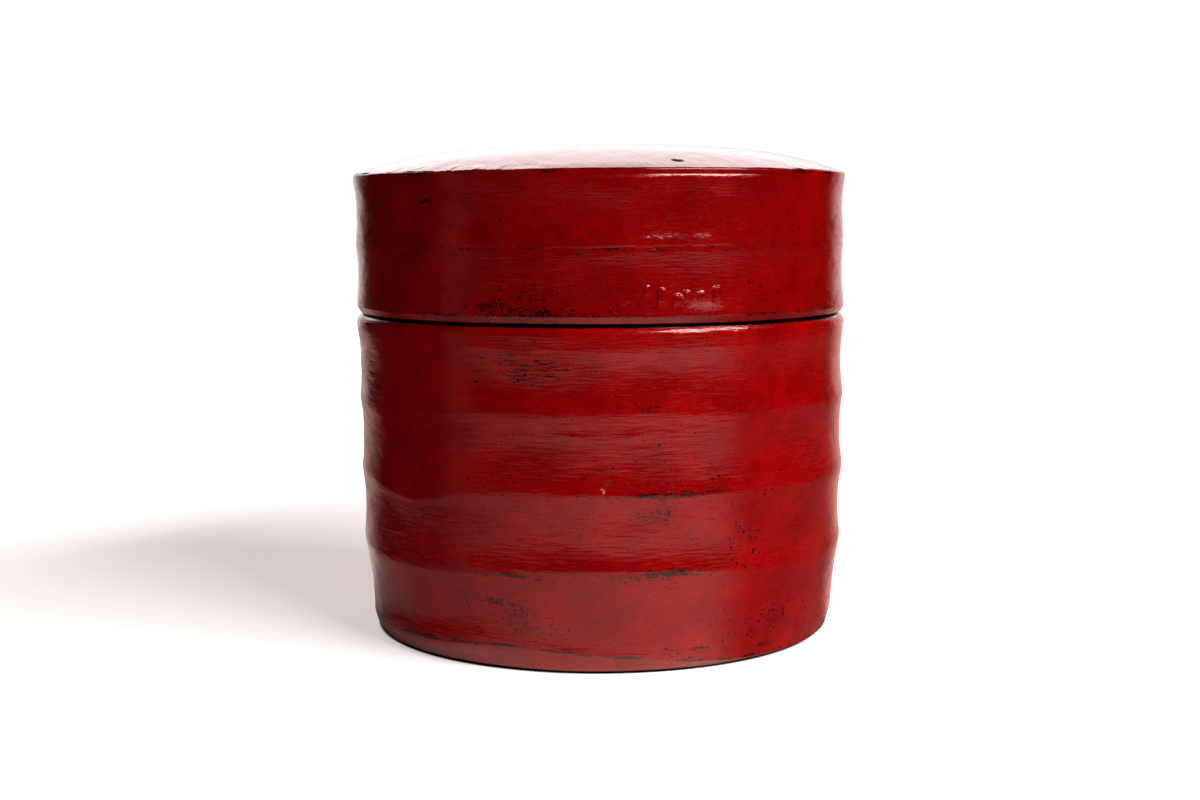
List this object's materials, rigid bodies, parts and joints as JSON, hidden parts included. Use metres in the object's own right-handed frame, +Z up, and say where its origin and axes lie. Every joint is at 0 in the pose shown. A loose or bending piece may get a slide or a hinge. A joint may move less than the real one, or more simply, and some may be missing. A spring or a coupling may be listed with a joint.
{
  "type": "round lacquer box",
  "caption": "Round lidded lacquer box with a softly ridged wall of stacked splint bands, a domed lift-off lid and an inner collar that guides the lid.",
  "frame": {"origin": "centre of the foot ring, on the surface that the box stands on", "axes": "+Z up along the box's axis and the way the lid lifts, -Y towards the side that the picture shows"},
  "size_m": [0.2, 0.2, 0.1956],
  "materials": {
    "red_lacquer": "brushed red lacquer over a black undercoat on bent splint, worn to the black along the ridges",
    "black_lacquer": "plain black lacquer on bent splint and board"
  },
  "bodies": {
    "box": {"foot_band": "red_lacquer", "lower_band": "red_lacquer", "upper_band": "red_lacquer", "rim_band": "red_lacquer", "base_board": "black_lacquer", "mouth_collar": "black_lacquer"},
    "lid": {"lid_rim_band": "red_lacquer", "lid_shoulder_band": "red_lacquer", "lid_crown": "red_lacquer"}
  },
  "joints": [
    {"name": "lid_lift", "type": "slide", "parent": "box", "child": "lid", "axis": [0, 0, 1], "range_m": [0, 0.12]}
  ]
}
